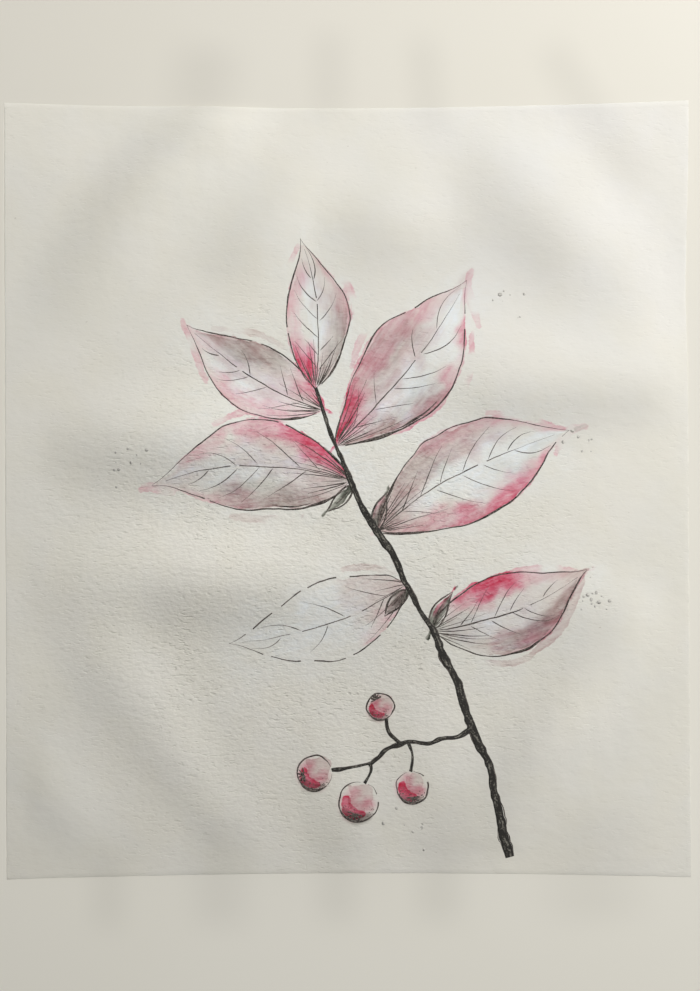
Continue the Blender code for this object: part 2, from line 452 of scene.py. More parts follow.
# What is laid inside each leaf: pigment, how far past the outline its hard edge runs in mm, and areas. A
# bound of -1, -2 or 2 lies past the outline.
LEAF_FLOODS = {
    "right_top": [
        ("rinse", -1.4, (0.12, 2, -0.62, 0.34, 0.7)),
        ("mauve", -0.4, (-1, 0.62, -0.1, 2, 0.85), (0.5, 2, 0.1, 0.9, 0.4), (0.05, 0.5, -2, -0.6, 1.3)),
        ("pink", 0.4, (0.12, 0.86, 0.58, 2, 0.85), (0.02, 0.9, -2, -0.82, 1.15),
            (-1, 0.26, -0.7, 0.6, 0.4), (0.3, 0.7, -0.1, 0.2, 0.15)),
        ("crimson", 0.7, (-1, 0.26, 0.46, 2, 1.3), (-1, 0.12, -0.1, 0.5, 0.4)),
        ("lampblack", -0.8, (0.04, 0.42, -2, -0.3, 0.2), (0.3, 0.66, 0.25, 0.9, 0.13)),
    ],
    "right_high": [
        ("rinse", -1.4, (0.2, 2, -0.45, 0.4, 0.8)),
        ("mauve", -0.3, (-1, 0.66, 0.34, 2, 1.15), (-1, 0.2, -2, 0.4, 1.05), (0.2, 0.5, -2, -0.6, 0.55)),
        ("pink", 0.3, (0.36, 2, 0.78, 2, 0.75), (0.1, 0.9, -2, -0.66, 0.75), (-1, 0.16, -1, 1.0, 0.25)),
        ("crimson", 0.2, (0.4, 0.72, -2, -0.84, 0.95)),
        ("lampblack", -0.8, (0.02, 0.09, -0.3, 0.35, 0.4), (0.1, 0.42, 0.3, 2, 0.17),
            (0.55, 0.9, -0.7, -0.2, 0.1)),
    ],
    "right_low": [
        ("rinse", -1.4, (0.1, 0.6, -0.7, 0.1, 0.7)),
        ("mauve", -0.2, (0.05, 0.95, -0.7, 0.7, 0.45), (0.3, 2, -2, -0.46, 1.5), (0.82, 2, -0.4, 2, 1.0)),
        ("pink", 0.5, (0.16, 0.74, 0.5, 2, 1.15), (0.46, 0.96, -2, -0.78, 0.8)),
        ("crimson", 0.3, (0.26, 0.52, 0.72, 2, 1.05)),
        ("lampblack", -0.6, (0.38, 0.98, -2, -0.42, 0.25), (-1, 0.16, -0.8, 0.6, 0.16)),
    ],
    "left_mid": [
        ("rinse", -1.4, (0.2, 0.9, -0.35, 0.45, 0.8)),
        ("mauve", -0.3, (-1, 0.55, -0.65, 0.2, 0.75), (0.08, 0.6, 0.5, 2, 1.25),
            (0.75, 2, -0.8, 0.8, 0.5)),
        ("pink", 0.4, (0.08, 0.82, -2, -0.62, 0.8), (0.42, 0.95, 0.76, 2, 0.65),
            (-1, 0.2, -0.5, 1.0, 0.3)),
        ("crimson", 0.5, (-1, 0.22, -2, -0.46, 1.15), (0.2, 0.34, -2, -0.8, 0.4)),
        ("lampblack", -0.7, (0.1, 0.58, 0.34, 2, 0.24), (-1, 0.14, -0.2, 0.5, 0.22)),
    ],
    "left_top": [
        ("rinse", -1.2, (0.25, 0.85, -0.4, 0.5, 0.8)),
        ("mauve", -0.2, (-1, 0.8, -0.5, 0.15, 0.85), (0.36, 2, -2, -0.55, 1.35)),
        ("pink", 0.4, (0.04, 0.66, 0.6, 2, 0.8), (-1, 0.3, -2, 2, 0.35), (0.8, 2, *WHOLE, 0.3)),
        ("crimson", 0.3, (-1, 0.2, -2, -0.38, 0.85)),
        ("lampblack", -0.5, (0.34, 0.96, -2, -0.32, 0.25)),
    ],
    "end": [
        ("rinse", -1.2, (0.3, 0.8, -0.4, 0.4, 0.7)),
        ("mauve", -0.3, (0.02, 0.62, -2, -0.15, 0.85), (0.7, 2, *WHOLE, 0.5)),
        ("pink", 0.4, (0.04, 0.7, 0.52, 2, 0.8), (0.4, 0.85, -2, -0.74, 0.6)),
        ("crimson", 0.4, (-1, 0.22, 0.3, 2, 1.05)),
        ("lampblack", -0.7, (0.02, 0.46, -2, -0.34, 0.22)),
    ],
    "left_low": [
        ("rinse", -1.6, (0.2, 0.8, -0.7, 0.6, 0.5)),
        ("mauve", -0.4, (-1, 0.28, -2, 0.5, 0.8)),
        ("pink", 0.0, (-1, 0.2, 0.3, 2, 0.8)),
    ],
    "bud_low": [
        ("lampblack", 0.1, (*WHOLE, -2, 0.25, 1.15), (-1, 0.5, *WHOLE, 0.7)),
        ("crimson", 0.0, (0.3, 2, -0.2, 2, 0.7)),
    ],
    "bud_middle": [
        ("lampblack", 0.1, (*WHOLE, -0.2, 2, 1.0), (-1, 0.4, *WHOLE, 0.8)),
    ],
    "bud_high": [
        ("lampblack", 0.1, (*WHOLE, -2, 0.2, 1.1), (-1, 0.5, *WHOLE, 0.6)),
        ("pink", 0.1, (0.3, 2, *WHOLE, 0.9)),
    ],
    "bud_left": [
        ("lampblack", 0.1, (*WHOLE, -0.3, 2, 1.0), (-1, 0.4, *WHOLE, 0.7)),
    ],
}
# Strokes that go past a leaf: pigment, the brush's way as (t, u) places, its half width in mm, its
# strength and its edge.
LEAF_STROKES = {
    "right_top": [
        ("pink", [(0.5, -1.24), (0.66, -1.3), (0.82, -1.42)], 1.5, 0.8, "broken"),
        ("pink", [(0.86, -2.1), (0.98, -3.2), (1.05, -4.0)], 1.6, 0.41, "broken"),
        ("pink", [(0.34, 1.14), (0.46, 1.2), (0.56, 1.16)], 1.5, 0.87, "broken"),
        ("mauve", [(0.95, 0.6), (1.04, 1.5)], 2.4, 0.45, "wet"),
    ],
    "right_high": [
        ("pink", [(0.9, -1.6), (1.0, -1.0), (1.07, 1.8)], 2.2, 0.51, "broken"),
        ("pink", [(0.7, 1.16), (0.84, 1.3), (0.98, 1.6)], 1.4, 0.8, "broken"),
        ("lampblack", [(1.02, 1.2), (1.08, 1.6)], 1.3, 0.14, "broken"),
    ],
    "right_low": [
        ("mauve", [(0.5, -1.16), (0.72, -1.24), (0.94, -1.6)], 2.0, 1.1, "dry"),
        ("mauve", [(0.2, -1.3), (0.36, -1.24), (0.5, -1.2)], 1.6, 0.5, "broken"),
        ("pink", [(0.6, 1.1), (0.76, 1.2), (0.94, 1.5)], 1.5, 0.72, "broken"),
    ],
    "left_mid": [
        ("pink", [(0.3, -1.15), (0.5, -1.2), (0.68, -1.25)], 1.5, 0.72, "broken"),
        ("pink", [(0.9, 1.6), (1.02, 0.4), (1.06, -1.5)], 1.9, 0.51, "broken"),
        ("mauve", [(0.25, 1.2), (0.42, 1.25), (0.6, 1.2)], 1.7, 0.6, "broken"),
    ],
    "left_top": [
        ("pink", [(0.7, 1.3), (0.92, 1.9), (1.03, 0.5)], 1.5, 0.8, "broken"),
        ("mauve", [(0.35, -1.25), (0.6, -1.3), (0.85, -1.5)], 1.4, 0.6, "broken"),
    ],
    "end": [
        ("pink", [(0.45, -1.2), (0.66, -1.35), (0.85, -1.9)], 1.5, 0.87, "broken"),
        ("pink", [(0.8, 1.6), (0.96, 2.2)], 1.4, 0.43, "broken"),
    ],
    "left_low": [
        ("mauve", [(0.04, -1.4), (0.16, -1.3), (0.3, -1.25)], 1.4, 0.6, "broken"),
    ],
}

RINSE_REACH = 7.0 * MM  # of the wetted paper, past a leaf
RINSE_RUN = (0.12, 0.88)  # of the midrib that the wet brush followed
RINSE_STRENGTH = 0.55
# A berry's first wash: how far the brush went and half its width, in radii, and its strength.
BERRY_SHIFT, BERRY_FILL, BERRY_STRENGTH = 0.3, 0.95, 0.8
# Its other washes: pigment, how far out the brush went as a share of the radius, from and to which angle
# and through how many points, its half width as such a share, its strength and its edge.
BERRY_WASHES = (
    ("pink", 0.5, 2.2, 5.9, 6, 0.5, 1.5, "wet"),
    ("crimson", 0.64, 2.9, 5.0, 5, 0.3, 0.9, "dry"),
    ("lampblack", 0.86, 3.7, 5.3, 4, 0.24, 0.8, "wet"),
)


def paint_leaves():
    for leaf in LEAVES.values():
        midrib = leaf.spot(np.linspace(*RINSE_RUN, 5), 0.0)
        radius = leaf.half_width + RINSE_REACH
        washes.stroke("rinse", midrib, radius, RINSE_STRENGTH, seed=1000 * leaf.seed + 900)
    for name, floods in LEAF_FLOODS.items():
        leaf = LEAVES.get(name) or BUDS[name]
        for index, (pigment, reach, *areas) in enumerate(floods):
            washes.flood(leaf, pigment, reach, areas, seed=1000 * leaf.seed + 10 * index)
    for name, strokes in LEAF_STROKES.items():
        leaf = LEAVES[name]
        for index, (pigment, places, radius, strength, edge) in enumerate(strokes):
            t, u = np.array(places).T
            path = leaf.spot(t, u)
            seed = 1000 * leaf.seed + 500 + 10 * index
            washes.stroke(pigment, path, radius * MM, strength, edge, seed)


def heading(angle):
    """The unit vectors that point at one angle or more, in radians."""
    return np.stack([np.cos(angle), np.sin(angle)], axis=-1)


def paint_berries():
    for index, (centre, radius, _) in enumerate(BERRIES):
        seed = 5000 + 20 * index
        middle, r = np.array(centre) * MM, radius * MM
        path = [middle, middle + BERRY_SHIFT * r]
        washes.stroke("mauve", path, BERRY_FILL * r, BERRY_STRENGTH, "dry", seed)
        for step, (pigment, out, first, last, count, width, strength, edge) in enumerate(BERRY_WASHES, 1):
            path = middle + out * r * heading(np.linspace(first, last, count))
            washes.stroke(pigment, path, width * r, strength, edge, seed + 5 * step)


paint_leaves()
paint_berries()


# ---- materials

WHITE = (1.0, 1.0, 1.0)


class Graph:
    """The nodes of a material or a world, and the few kinds that its pattern is made of."""

    def __init__(self, owner):
        owner.use_nodes = True
        self.tree = owner.node_tree
        self.shader = self.tree.nodes.get("Principled BSDF")
        metres = self.node("ShaderNodeTexCoord").outputs["Object"]
        self.place = self.vector("MULTIPLY", metres, (1.0 / MM, 1.0 / MM, 1.0 / MM))

    def node(self, kind, **settings):
        new = self.tree.nodes.new(kind)
        for key, value in settings.items():
            setattr(new, key, value)
        return new

    def feed(self, socket, value):
        if isinstance(value, bpy.types.NodeSocket):
            self.tree.links.new(value, socket)
        elif isinstance(value, tuple) and socket.type == "RGBA" and len(value) == 3:
            socket.default_value = (*value, 1.0)
        else:
            socket.default_value = value

    def made(self, kind, inputs, output=0, **settings):
        """An output of a new node, whose inputs are given by their numbers or names."""
        new = self.node(kind, **settings)
        for key, value in inputs.items():
            self.feed(new.inputs[key], value)
        return new.outputs[output]

    def math(self, operation, first, second=0.0):
        return self.made("ShaderNodeMath", {0: first, 1: second}, operation=operation)

    def product(self, *factors):
        total = factors[0]
        for factor in factors[1:]:
            total = self.math("MULTIPLY", total, factor)
        return total

    def vector(self, operation, first, second=(0.0, 0.0, 0.0)):
        output = "Value" if operation in ("LENGTH", "DOT_PRODUCT") else "Vector"
        return self.made("ShaderNodeVectorMath", {0: first, 1: second}, output, operation=operation)

    def join(self, along, across):
        return self.made("ShaderNodeCombineXYZ", {0: along, 1: across})

    def split(self, vector):
        new = self.node("ShaderNodeSeparateXYZ")
        self.feed(new.inputs[0], vector)
        return new.outputs

    def noise(self, size, detail=2.0, roughness=0.5, stretch=(1.0, 1.0, 1.0), at=None, shift=0.0):
        """Noise from 0 to 1 with humps about size mm across, times stretch."""
        place = self.vector("MULTIPLY", at or self.place, tuple(1.0 / (size * s) for s in stretch))
        place = self.vector("ADD", place, (shift, shift, 0.0))
        inputs = {"Vector": place, "Scale": 1.0, "Detail": detail, "Roughness": roughness}
        return self.made("ShaderNodeTexNoise", inputs)

    def remap(self, value, from_low, from_high, to_low=0.0, to_high=1.0):
        inputs = dict(enumerate((value, from_low, from_high, to_low, to_high)))
        return self.made("ShaderNodeMapRange", inputs, interpolation_type="SMOOTHSTEP")

    def mix(self, share, first, second, blend="MIX"):
        inputs = {0: share, 6: first, 7: second}
        return self.made("ShaderNodeMix", inputs, 2, data_type="RGBA", blend_type=blend)

    def mix_shader(self, share, first, second):
        return self.made("ShaderNodeMixShader", {0: share, 1: first, 2: second})

    def tint(self, colour, share, full):
        """colour, multiplied by full, a colour or a grey level, where share is 1."""
        full = full if isinstance(full, tuple) else (full, full, full)
        return self.mix(1.0, colour, self.mix(share, WHITE, full), "MULTIPLY")

    def attribute(self, name):
        return self.split(self.node("ShaderNodeAttribute", attribute_name=name).outputs["Vector"])

    def dress(self, colour, roughness, specular):
        self.feed(self.shader.inputs["Base Color"], colour)
        self.feed(self.shader.inputs["Roughness"], roughness)
        self.feed(self.shader.inputs["Specular IOR Level"], specular)

    def bump(self, height, distance):
        normal = self.made("ShaderNodeBump", {"Height": height, "Distance": distance})
        self.feed(self.shader.inputs["Normal"], normal)


PAPER_COLOUR = (0.641, 0.620, 0.558)
PAPER_ROUGHNESS = 0.92
PAPER_SPECULAR = 0.25
GRAIN_RELIEF = 0.20 * MM
GRAIN_MIDDLE = (-20.0, -38.0, 0.0)  # mm, where the tooth is raised most
GRAIN_RANGE = (45.0, 150.0)  # mm from there
GRAIN_STRENGTHS = (1.4, 0.27)
MEAN_TOOTH = 0.25
# The tooth's patterns, with sizes in mm. Its pits are deep in some patches and shallow in others.
PITS = dict(size=1.4, stretch=(1.9, 0.75, 1.0))
WEAVE = dict(size=1.35, stretch=(1.5, 0.9, 1.0), shift=31.0)
LUMPS = dict(size=4.2, stretch=(1.3, 0.8, 1.0))
PIT_PATCHES = 26.0
PIT_RANGE = (0.44, 0.30)  # of their noise, from level paper to the bottom of a pit
PATCH_RANGE = (0.38, 0.62, 0.25, 1.0)  # of their noise, and how deep the pits are there
PIT_DEPTH, LUMP_HEIGHT = 0.5, 0.45  # of the weave's height
WEAVE_SHARE, PIT_SHARE = 0.6, 0.4  # in how high the tooth stands


def paper_grain(graph):
    """The cold-pressed tooth: its relief, and how high it stands, from about 0 in its pits to 0.6.

    The pits are short and lie across the sheet. The tooth stands up most where the sheet was wettest,
    and fades towards the edges.
    """
    away = graph.vector("LENGTH", graph.vector("SUBTRACT", graph.place, GRAIN_MIDDLE))
    strength = graph.remap(away, *GRAIN_RANGE, *GRAIN_STRENGTHS)
    pits = graph.remap(graph.noise(**PITS), *PIT_RANGE)
    weave, lumps = graph.noise(**WEAVE), graph.noise(**LUMPS)
    patches = graph.remap(graph.noise(PIT_PATCHES), *PATCH_RANGE)
    relief = graph.math("SUBTRACT", weave, graph.product(pits, patches, PIT_DEPTH))
    relief = graph.math("ADD", relief, graph.product(lumps, LUMP_HEIGHT))
    tooth = graph.math("SUBTRACT", graph.product(weave, WEAVE_SHARE), graph.product(pits, PIT_SHARE))
    tooth = graph.product(graph.math("SUBTRACT", tooth, MEAN_TOOTH), strength)
    return graph.product(relief, strength), graph.math("ADD", tooth, MEAN_TOOTH)


# What the brush's hairs and its overlapping glazes make of a wash: their noise, and for ranges of it
# what share of the pigment they leave.
HAIRS = dict(size=1.6, roughness=0.6, stretch=(9.0, 1.0, 1.0))
HAIRS_RANGE = (0.3, 0.7, 0.78, 1.22)
GLAZES = dict(size=6.0, detail=3.0, roughness=0.55, stretch=(2.6, 1.0, 1.0))
GLAZE_RANGES = ((0.47, 0.51, 0.84, 1.12), (0.58, 0.62, 1.0, 1.28))
GLAZE_SHIFT = 7.0  # mm from the hairs' noise


def brush_streaks(graph, shift):
    """How unevenly the brush laid a pigment: streaks the way it moved, and glazes with hard edges."""
    along, across, _ = graph.attribute("brush_way")
    way = graph.join(along, across)
    hairs = graph.remap(graph.noise(at=way, shift=shift, **HAIRS), *HAIRS_RANGE)
    glaze = graph.noise(at=way, shift=shift + GLAZE_SHIFT, **GLAZES)
    return graph.product(hairs, *(graph.remap(glaze, *levels) for levels in GLAZE_RANGES))


# In mm inside a wash's edge: where its pigment sets in, and where the dark rim that drying left along the
# edge sets in and dies away.
WASH_EDGE = (-0.16, 0.26)
RIM_EDGE = (-0.05, 0.18)
RIM_FADE = (0.22, 1.3)
RIM_STRENGTH = 0.38
EDGE_WOBBLE = 2.1  # mm
WOBBLES = dict(size=2.4, detail=3.0, roughness=0.6)
WASH_CLOUDS = dict(size=6.0, detail=3.0, roughness=0.55)
WASH_CLOUD_RANGE = (0.3, 0.7, 0.88, 1.12)  # of their noise, and what share of the pigment they leave
TOOTH_RANGE = (0.10, 0.54)
PIT_AND_PEAK = (1.28, 0.78)  # how much of the pigment settled in the tooth's pits and on its peaks


def wash_transmission(graph, name, tooth, shift):
    """What one pigment's washes let through at each point."""
    wet, inside, strength = graph.attribute("wash_" + name)
    wobble = graph.math("SUBTRACT", graph.noise(shift=shift, **WOBBLES), 0.5)
    inside = graph.math("ADD", inside, graph.product(wobble, EDGE_WOBBLE))
    rim = graph.product(graph.remap(inside, *RIM_EDGE), graph.remap(inside, *RIM_FADE, 1.0, 0.0))
    mask = graph.math("ADD", graph.remap(inside, *WASH_EDGE), graph.product(rim, RIM_STRENGTH))
    total = graph.math("ADD", wet, graph.product(strength, mask))
    settled = graph.remap(tooth, *TOOTH_RANGE, *PIT_AND_PEAK)
    clouds = graph.remap(graph.noise(shift=shift, **WASH_CLOUDS), *WASH_CLOUD_RANGE)
    total = graph.product(total, brush_streaks(graph, shift), settled, clouds)
    inputs = {"Color": PIGMENTS[name], "Gamma": graph.math("MAXIMUM", total, 0.0)}
    return graph.made("ShaderNodeGamma", inputs)


# A broad faint shade over the sheet's lower middle and the table there, wider than it is high: its middle,
# its flattening, where it starts and ends, all in mm, and its tint.
LOWER_MIDDLE = (-10.0, -105.0, 0.0)
LOWER_SHAPE = (0.62, 1.0, 0.0)
LOWER_RANGE = (15.0, 90.0)
LOWER_TINT = (0.925, 0.925, 0.930)
# Faint streaks of shade, nine across the sheet's top and bottom edges on to the table and three on the
# sheet alone: where each starts and ends in mm, how far it reaches to either side, and what it leaves of
# the light.
STREAKS = [
    ((-61, 146), (-58, 172), 24, 0.91),
    ((-7, 164), (-7, 177), 15, 0.935),
    ((34, 157), (32, 175), 14, 0.935),
    ((114, 134), (89, 173), 15, 0.93),
    ((-99, -159), (-99, -169), 15, 0.93),
    ((-53, -143), (-53, -169), 21, 0.92),
    ((-5, -141), (-5, -167), 17, 0.92),
    ((37, -134), (37, -167), 18, 0.915),
    ((100, -141), (100, -167), 35, 0.925),
    ((0, 93), (80, 96), 26, 0.95),
    ((62, 32), (118, 34), 17, 0.93),
    ((-72, -50), (105, -64), 34, 0.915),
]
STREAK_FADE = 20.0  # mm past a streak's two ends


def shaded(graph, colour):
    """colour under the lower shade and the streaks."""
    away = graph.vector("MULTIPLY", graph.vector("SUBTRACT", graph.place, LOWER_MIDDLE), LOWER_SHAPE)
    colour = graph.tint(colour, graph.remap(graph.vector("LENGTH", away), *LOWER_RANGE, 1.0, 0.0), LOWER_TINT)
    for start, end, reach, left in STREAKS:
        run = math.dist(start, end)
        way = ((end[0] - start[0]) / run, (end[1] - start[1]) / run, 0.0)
        away = graph.vector("SUBTRACT", graph.place, (*start, 0.0))
        along = graph.vector("DOT_PRODUCT", away, way)
        aside = graph.math("ABSOLUTE", graph.vector("DOT_PRODUCT", away, (-way[1], way[0], 0.0)))
        share = graph.product(
            graph.remap(aside, 0.0, reach, 1.0, 0.0),
            graph.remap(along, -STREAK_FADE, 0.0),
            graph.remap(along, run, run + STREAK_FADE, 1.0, 0.0),
        )
        colour = graph.tint(colour, share, left)
    return colour


# Painted light and shade on the paper: how far up and how far across the sheet, in mm, and its tint there.
# Its top margin is painted lighter, less so on the right, its upper right is painted in a cooler, whiter
# light and its bottom margin is painted darker, in shade.
ALL_ACROSS = (0, 1, 1.0, 1.0)
PAINTED_LIGHT_AND_SHADE = (
    ((118, 146), (30, 110, 1.0, 0.2), (1.045, 1.045, 1.05)),
    ((0, 120), (-20, 90), (0.995, 1.0, 1.035)),
    ((-125, -150), ALL_ACROSS, 0.98),
)
# The paper's clouds: their size in mm, their detail and their tint.
CLOUDS = ((24.0, 3.0, (1.0, 0.994, 0.972)), (46.0, 2.0, (0.975, 0.98, 0.985)))
# Painted shade in the tooth's pits and a painted highlight on its peaks: the range of the tooth, and the
# tint.
TOOTH_SHADE_AND_HIGHLIGHT = (((0.22, 0.06), (0.965, 0.965, 0.96)), ((0.32, 0.55), 1.035))
CLOUD_RANGE = (0.35, 0.65)
FLECKS = dict(size=1.3, detail=1.0, stretch=(1.6, 1.0, 1.0), shift=90.0)
FLECK_COLOUR = (0.30, 0.26, 0.21)
PIGMENT_SHIFT = 13.0  # mm from one pigment's noises to the next's
FLECK_RANGE = (0.80, 0.86, 0.0, 0.5)  # of the noise, and what share of the colour it gives


def paper_material():
    material = bpy.data.materials.new("painted_paper")
    graph = Graph(material)
    relief, tooth = paper_grain(graph)
    across, up, _ = graph.split(graph.place)
    colour = PAPER_COLOUR
    for size, detail, cloud in CLOUDS:
        colour = graph.tint(colour, graph.remap(graph.noise(size, detail), *CLOUD_RANGE), cloud)
    # painted light on the top margin and the upper right, and painted shade on the bottom margin
    for up_range, across_range, full in PAINTED_LIGHT_AND_SHADE:
        share = graph.product(graph.remap(up, *up_range), graph.remap(across, *across_range))
        colour = graph.tint(colour, share, full)
    colour = shaded(graph, colour)
    # painted shade in the tooth's pits and a painted highlight on its peaks
    for tooth_range, full in TOOTH_SHADE_AND_HIGHLIGHT:
        colour = graph.tint(colour, graph.remap(tooth, *tooth_range), full)
    colour = graph.mix(graph.remap(graph.noise(**FLECKS), *FLECK_RANGE), colour, FLECK_COLOUR)
    for index, name in enumerate(PIGMENTS):
        wash = wash_transmission(graph, name, tooth, PIGMENT_SHIFT * index)
        colour = graph.mix(1.0, colour, wash, "MULTIPLY")
    graph.dress(colour, PAPER_ROUGHNESS, PAPER_SPECULAR)
    graph.bump(relief, GRAIN_RELIEF)
    return material


INK_ROUGHNESS = 0.75
INK_SPECULAR = 0.3
# A dry stroke shows the brush's hairs: how many changes they make in a mm along it and in half its width.
INK_HAIRS_ALONG, INK_HAIRS_ACROSS = 0.22, 1.3
INK_HAIRS_SHARE = 0.62  # of the hairs in how dry a stroke looks, with the rest from specks
INK_SPECK_SIZE = 0.7  # mm
INK_RIM = (0.35, 0.8)  # of the half width, over which a stroke's rim sets in
# Each ink's colour where it pooled and where the tool ran dry, the range of dryness from one to the other,
# and how dark its rims stay.
INKS = {
    "pen_ink": ((0.026, 0.020, 0.017), (0.17, 0.145, 0.125), 0.44, 0.60, 0.3),
    "brush_ink": ((0.020, 0.018, 0.015), (0.180, 0.168, 0.140), 0.49, 0.64, 0.90),
    "thinned_ink": ((0.36, 0.345, 0.315), (0.50, 0.485, 0.44), 0.4, 0.6, 0.6),
}


def ink_material(name, dark, pale, pale_from, pale_to, rim_share):
    material = bpy.data.materials.new(name)
    graph = Graph(material)
    relief, _ = paper_grain(graph)
    along, across, _ = graph.attribute("ink_flow")
    lane = graph.join(graph.product(along, INK_HAIRS_ALONG), graph.product(across, INK_HAIRS_ACROSS))
    hairs = graph.product(graph.noise(1.0, 3.0, 0.65, at=lane), INK_HAIRS_SHARE)
    specks = graph.product(graph.noise(INK_SPECK_SIZE), 1.0 - INK_HAIRS_SHARE)
    dry = graph.math("ADD", hairs, specks)
    rim = graph.remap(graph.math("ABSOLUTE", across), *INK_RIM, 1.0, 1.0 - rim_share)
    share = graph.product(graph.remap(dry, pale_from, pale_to), rim)
    graph.dress(graph.mix(share, dark, pale), INK_ROUGHNESS, INK_SPECULAR)
    graph.bump(relief, GRAIN_RELIEF)
    return material


# ---- the sheet

def grid_points(columns, rows, first):
    return first + np.arange((columns + 1) * (rows + 1)).reshape(rows + 1, columns + 1)


def perimeter(columns, rows, first=0):
    """The points round a grid's edge, anticlockwise from the lower left corner."""
    grid = grid_points(columns, rows, first)
    return np.concatenate([grid[0, :-1], grid[:-1, -1], grid[-1, :0:-1], grid[:0:-1, 0]]).tolist()


def grid_faces(columns, rows, first=0, upward=True):
    grid = grid_points(columns, rows, first)
    faces = np.stack([grid[:-1, :-1], grid[:-1, 1:], grid[1:, 1:], grid[1:, :-1]], axis=2).reshape(-1, 4)
    return (faces if upward else faces[:, ::-1]).tolist()


# The bake map, in map widths, and in map widths to a metre where it says scale.
FACE_MAP_SCALE = 3.0
BACK_MAP_SCALE = 0.5
MAP_MARGIN = 0.004
WALL_MAP_START = 0.2  # of the cut edges' strips, above the back
WALL_MAP_SCALE = 2.4
WALL_MAP_STEP = 0.035  # from one cut edge's strip to the next
WALL_MAP_WIDTH = 0.02


def read_all(items, name, kind=int, width=1):
    values = np.empty(len(items) * width, kind)
    items.foreach_get(name, values)
    return values


def bake_places(mesh, face_count, back_count, wall_sides):
    """A bake map that gives the painted face nearly all of the image, then the back and the cut edges."""
    layer = mesh.uv_layers.new(name="OFBake")
    points = read_all(mesh.vertices, "co", float, 3).reshape(-1, 3)
    corners = read_all(mesh.loops, "vertex_index")
    starts = read_all(mesh.polygons, "loop_start")
    x, y = points[corners, 0] - surface.low.x, points[corners, 1] - surface.low.y
    back_column = FACE_MAP_SCALE * surface.width + 3.0 * MAP_MARGIN
    places = np.stack([MAP_MARGIN + FACE_MAP_SCALE * x, MAP_MARGIN + FACE_MAP_SCALE * y], axis=1)
    back = slice(starts[face_count], starts[face_count + back_count])
    places[back, 0] = back_column + BACK_MAP_SCALE * x[back]
    places[back, 1] = MAP_MARGIN + BACK_MAP_SCALE * y[back]
    wall = slice(starts[face_count + back_count], len(corners))
    side = np.repeat(wall_sides, BACK_STEP + 3)
    on_face = corners[wall] < (surface.columns + 1) * (surface.rows + 1)
    along = np.where(side % 2 == 0, x[wall], y[wall])
    places[wall, 0] = back_column + WALL_MAP_STEP * side + WALL_MAP_WIDTH * on_face
    places[wall, 1] = WALL_MAP_START + WALL_MAP_SCALE * along
    layer.data.foreach_set("uv", places.ravel())


def add_field(mesh, name, values):
    """A vector for every point of the painted face, and none on the rest of the mesh."""
    field = mesh.attributes.new(name, "FLOAT_VECTOR", "POINT")
    every = np.zeros((len(mesh.vertices), 3), np.float32)
    every[:, 1] = NO_WASH / MM
    every[: surface.z.size] = np.stack(values, axis=2).reshape(-1, 3)
    field.data.foreach_set("vector", every.ravel())


def make_sheet():
    """The sheet as one closed body: a fine painted face, a coarser back and the cut edges between them."""
    columns, rows = surface.columns, surface.rows
    face_points = np.stack([surface.grid_x, surface.grid_y, surface.z], axis=2).reshape(-1, 3)
    every = np.ix_(range(0, rows + 1, BACK_STEP), range(0, columns + 1, BACK_STEP))
    back_z = np.maximum(surface.smooth[every] - PAPER_THICKNESS, 0.0)
    back_points = np.stack([surface.grid_x[every], surface.grid_y[every], back_z], axis=2).reshape(-1, 3)
    back_columns, back_rows = columns // BACK_STEP, rows // BACK_STEP

    front = grid_faces(columns, rows)
    back = grid_faces(back_columns, back_rows, len(face_points), upward=False)
    edge = perimeter(columns, rows)
    back_edge = perimeter(back_columns, back_rows, len(face_points))
    walls = []
    for index, corner in enumerate(back_edge):
        after = back_edge[(index + 1) % len(back_edge)]
        steps = range((index + 1) * BACK_STEP, index * BACK_STEP - 1, -1)
        walls.append([corner, after] + [edge[step % len(edge)] for step in steps])

    mesh = bpy.data.meshes.new("painted_sheet")
    mesh.from_pydata(np.vstack([face_points, back_points]).tolist(), [], front + back + walls)
    mesh.update()
    mesh.shade_smooth()
    mesh.set_sharp_from_angle(angle=math.radians(60))
    for name in PIGMENTS:
        inside = washes.inside[name] / MM
        add_field(mesh, "wash_" + name, (washes.wet[name], inside, washes.strength[name]))
    along, across = washes.brush[:, :, 0] / MM, washes.brush[:, :, 1] / MM
    add_field(mesh, "brush_way", (along, across, np.zeros_like(along)))
    wall_sides = np.repeat([0, 1, 2, 3], [back_columns, back_rows, back_columns, back_rows])
    bake_places(mesh, len(front), len(back), wall_sides)
    mesh.materials.append(paper_material())
    sheet = add_object("painted_sheet", mesh)
    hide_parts(SHEET_NODE)
    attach(sheet, BODY)


# ---- ink

INK_LIFT = 0.03 * MM
INK_ROOT = 0.06 * MM  # how far an ink film reaches into the paper
INK_THINNING = 0.6  # of its lift, out to its rims


